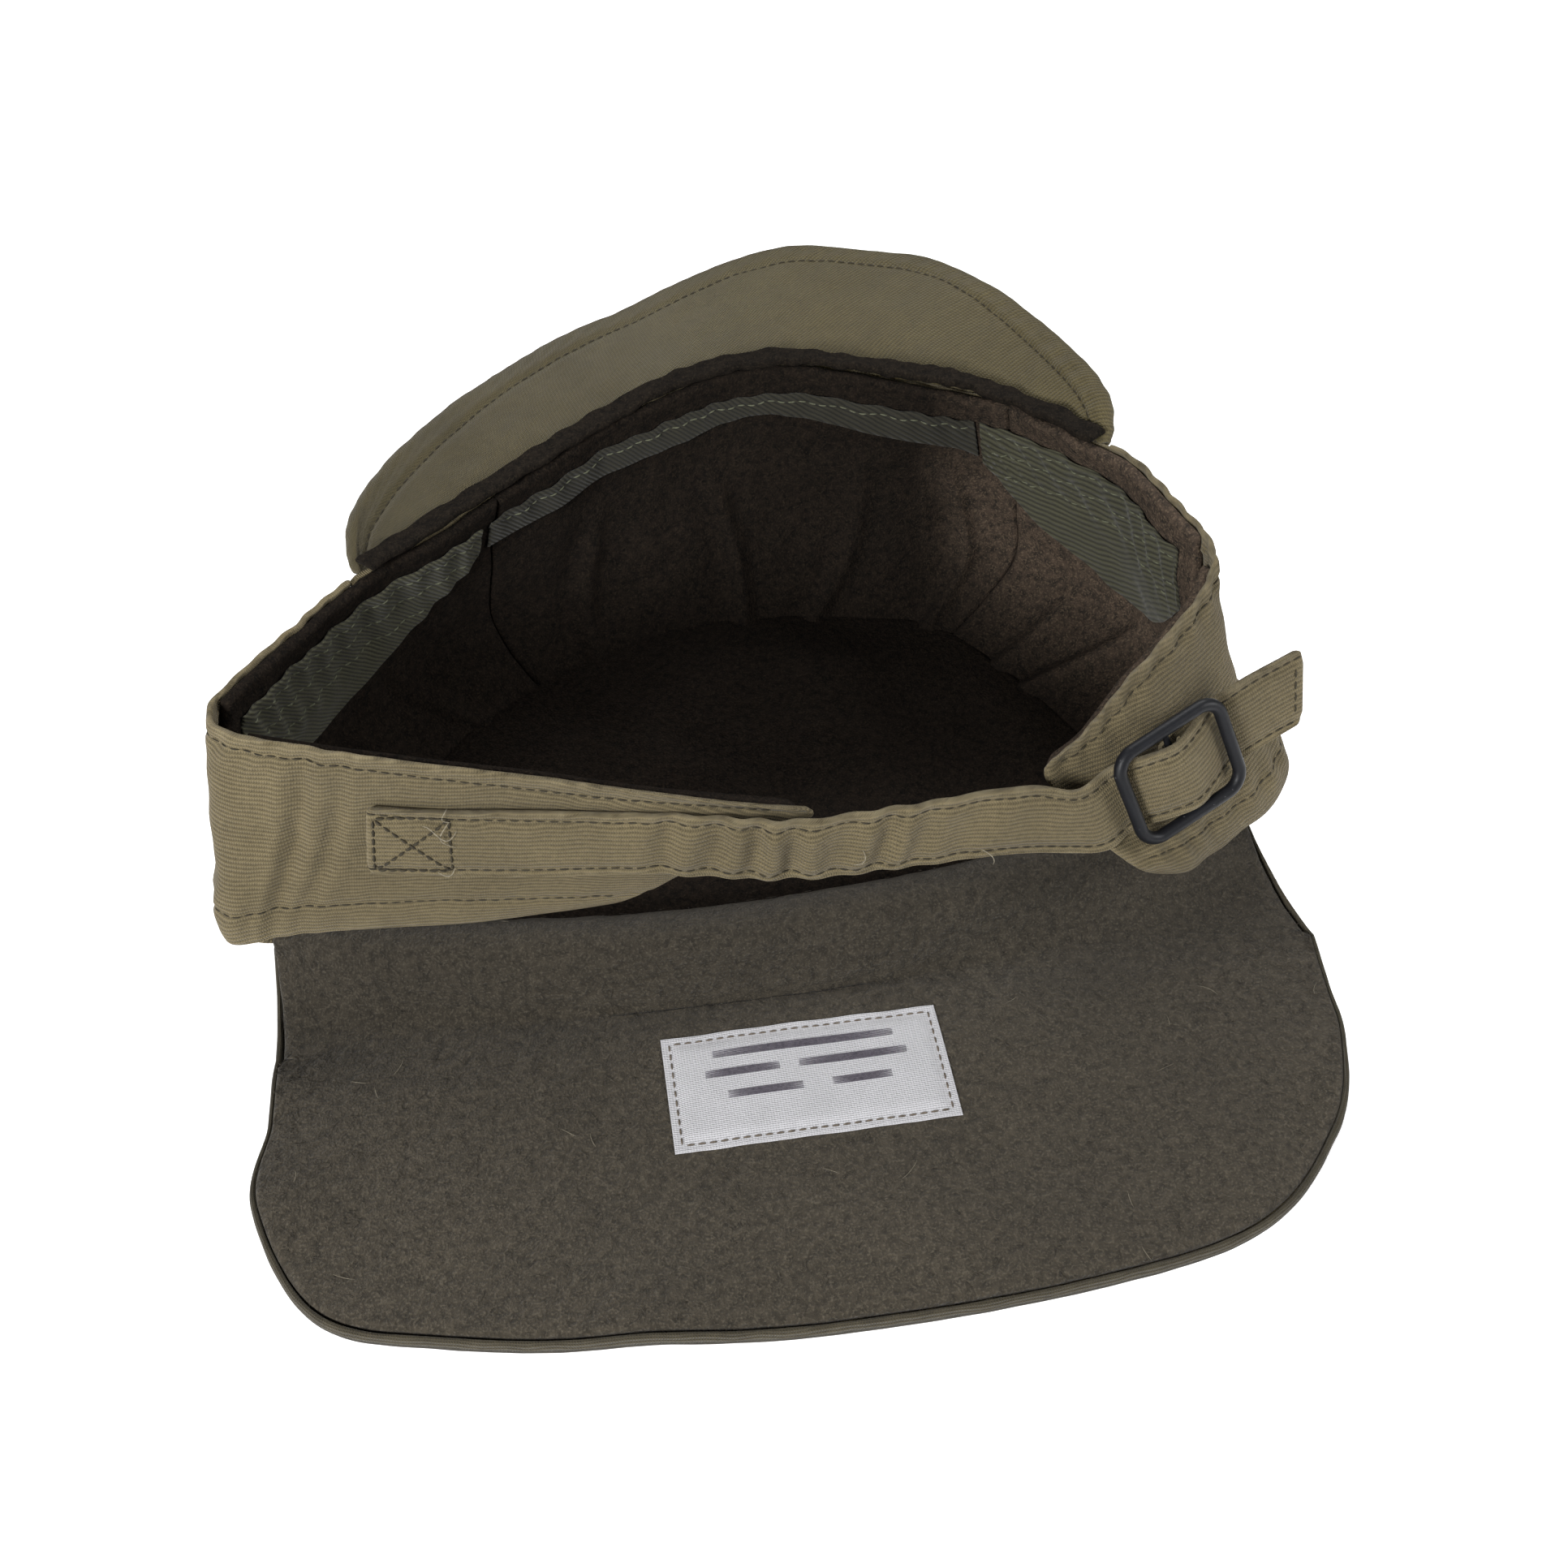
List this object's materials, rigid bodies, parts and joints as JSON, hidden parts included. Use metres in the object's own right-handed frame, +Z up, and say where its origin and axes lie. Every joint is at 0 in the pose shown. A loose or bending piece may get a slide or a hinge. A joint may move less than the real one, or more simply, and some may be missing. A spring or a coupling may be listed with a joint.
{
  "type": "cloth deck cap",
  "caption": "Soft corded-cotton cap with wool lining, short visor, buckled adjusting strap and a fold-out neck flap, lying upside down on its crown.",
  "frame": {"origin": "on the floor, under the middle of the cap's bounding box with the neck flap laid out", "axes": "+Z up out of the head opening, +Y towards the visor, -Y towards the neck flap, +X towards the buckle"},
  "size_m": [0.2287, 0.2542, 0.0809],
  "materials": {
    "corded_cotton": "matte, fine raised cords",
    "wool_lining": "matte, felted nap",
    "cotton_twill": "soft satin, diagonal twill",
    "buckram_board": "matte, stiffened",
    "label_tape": "woven tape, slight sheen",
    "black_enamel": "satin black enamel"
  },
  "bodies": {
    "cap": {"crown_top_outer": "corded_cotton", "crown_front_outer": "corded_cotton", "crown_left_outer": "corded_cotton", "crown_right_outer": "corded_cotton", "crown_back_outer": "corded_cotton", "front_band_outer": "corded_cotton", "left_wing_outer": "corded_cotton", "right_wing_outer": "corded_cotton", "crown_top_lining": "wool_lining", "crown_front_lining": "wool_lining", "crown_left_lining": "wool_lining", "crown_right_lining": "wool_lining", "crown_back_lining": "wool_lining", "left_wing_lining": "wool_lining", "right_wing_lining": "wool_lining", "sweatband_front": "cotton_twill", "sweatband_left": "cotton_twill", "sweatband_right": "cotton_twill", "visor_under_cover": "corded_cotton", "visor_board": "buckram_board", "visor_upper_cover": "corded_cotton", "visor_edge_roll": "corded_cotton", "visor_root_welt": "wool_lining", "flap_root_outer": "corded_cotton", "flap_root_lining": "wool_lining", "strap": "corded_cotton", "buckle_tab": "corded_cotton"},
    "neck_flap": {"flap_outer": "corded_cotton", "flap_lining": "wool_lining", "flap_edge_binding": "corded_cotton", "size_label": "label_tape"},
    "buckle": {"buckle_frame": "black_enamel", "buckle_bar": "black_enamel"},
    "strap_end": {"strap_tail": "corded_cotton"}
  },
  "joints": [
    {"name": "flap_fold", "type": "hinge", "parent": "cap", "child": "neck_flap", "pos_m": [0.0077, -0.052, 0.0043], "axis": [-1, 0, 0], "range_deg": [0, 70]},
    {"name": "buckle_pivot", "type": "hinge", "parent": "cap", "child": "buckle", "pos_m": [0.07781, -0.04293, 0.04985], "axis": [-0.3594, 0.2765, 0.8913], "range_deg": [-4, 3.5]},
    {"name": "strap_end_bend", "type": "hinge", "parent": "cap", "child": "strap_end", "pos_m": [0.0906, -0.0366, 0.05304], "axis": [0.3594, -0.2765, -0.8913], "range_deg": [-8, 35]}
  ]
}
